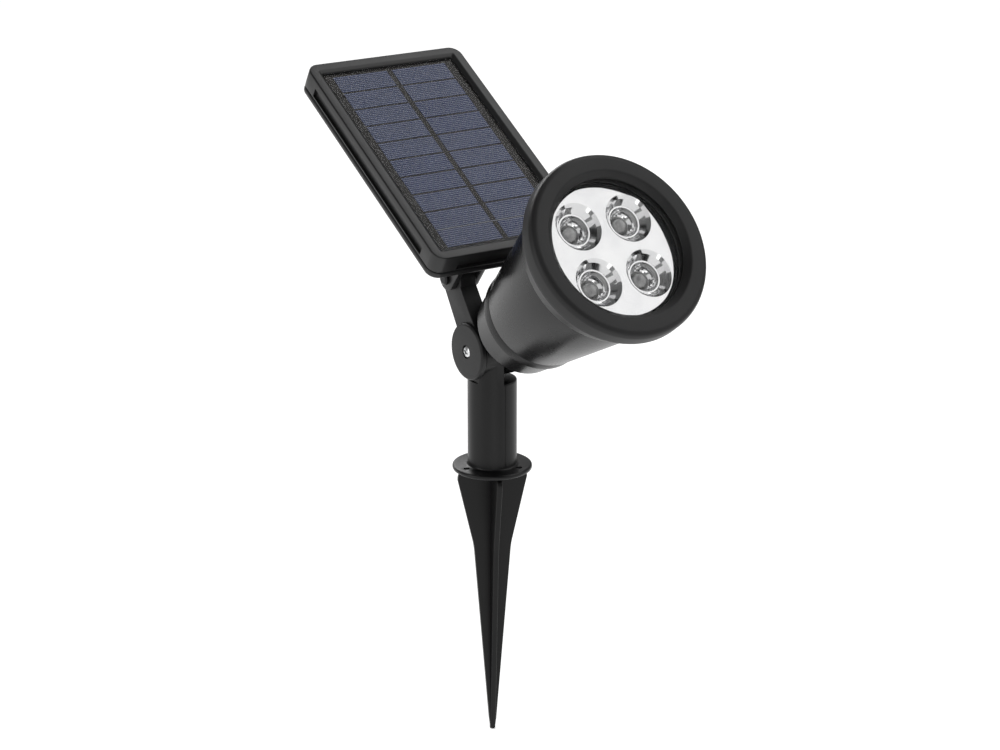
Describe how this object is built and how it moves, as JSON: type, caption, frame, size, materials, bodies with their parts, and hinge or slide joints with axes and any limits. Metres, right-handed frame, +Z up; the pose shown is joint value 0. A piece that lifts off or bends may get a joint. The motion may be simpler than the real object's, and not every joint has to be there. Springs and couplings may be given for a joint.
{
  "type": "solar garden light",
  "caption": "Garden spotlight on a post with a ground spike: a tilting lamp head with domed LEDs and a solar panel on its own tilting arm.",
  "frame": {"origin": "centre of the post flange's underside, where the spike enters the ground", "axes": "+Z up the post, -Y the way the lamp shines, X along the tilt axes"},
  "size_m": [0.09, 0.2405, 0.3245],
  "materials": {
    "spike_black": "moulded black, satin",
    "post_black": "moulded black, satin",
    "arm_black": "moulded black, fine texture",
    "lamp_black": "moulded black, satin",
    "bezel_black": "moulded black, soft matte",
    "panel_black": "moulded black, satin",
    "rubber": "black rubber",
    "chip_black": "black epoxy package",
    "clear": "clear moulded plastic",
    "bright": "vacuum-plated, mirror bright",
    "white_board": "white solder mask",
    "green_board": "green solder mask",
    "battery_wrap": "plain shrink wrap",
    "holder": "moulded black",
    "coil": "ferrite grey",
    "cells": "blue-black cells under a clear face",
    "led_dome": "clear dome over a pale chip",
    "steel": "zinc-plated screws",
    "screw_black": "black-zinc screw and nut of the panel hinge"
  },
  "bodies": {
    "spike": {"ground_spike": "spike_black"},
    "post": {"post_tube": "post_black", "pivot_screw": "steel", "arm_washer": "rubber", "lamp_washer": "rubber"},
    "lamp": {"lamp_housing": "lamp_black", "rear_cap": "lamp_black", "bezel_ring": "bezel_black", "front_lens": "clear", "lens_seal": "rubber", "reflector": "bright", "led_board": "white_board", "led_1": "led_dome", "led_2": "led_dome", "led_3": "led_dome", "led_4": "led_dome", "board_screw_1": "steel", "board_screw_2": "steel", "board_screw_3": "steel", "cap_seal": "rubber", "lamp_gland": "rubber", "battery": "battery_wrap", "battery_holder": "holder", "driver_board": "green_board", "driver_screw_1": "steel", "driver_screw_2": "steel", "driver_coil": "coil", "driver_chip": "chip_black", "power_switch": "holder", "pivot_nut": "steel"},
    "button": {"switch_button": "rubber"},
    "arm": {"panel_arm": "arm_black"},
    "panel": {"panel_back": "panel_black", "panel_frame": "panel_black", "solar_cells": "cells", "clear_face": "clear", "panel_board": "green_board", "panel_gland": "rubber", "hinge_screw": "screw_black", "hinge_nut": "screw_black", "case_screw_1": "steel", "case_screw_2": "steel", "case_screw_3": "steel", "case_screw_4": "steel"}
  },
  "joints": [
    {"name": "post_turn", "type": "hinge", "parent": "spike", "child": "post", "pos_m": [0, 0, 0], "axis": [0, 0, 1], "range_deg": [-180, 180]},
    {"name": "lamp_tilt", "type": "hinge", "parent": "post", "child": "lamp", "pos_m": [0.0058, 0, 0.0618], "axis": [-1, 0, 0], "range_deg": [-43, 6]},
    {"name": "arm_tilt", "type": "hinge", "parent": "post", "child": "arm", "pos_m": [-0.0083, 0, 0.0618], "axis": [-1, 0, 0], "range_deg": [-5, 60]},
    {"name": "panel_tilt", "type": "hinge", "parent": "arm", "child": "panel", "pos_m": [-0.0083, 0.0158, 0.095], "axis": [-1, 0, 0], "range_deg": [-10, 45]},
    {"name": "switch_press", "type": "slide", "parent": "lamp", "child": "button", "axis": [0, -0.7986, 0.6018], "range_m": [0, 0.0012], "stiffness_N_per_m": 600}
  ]
}
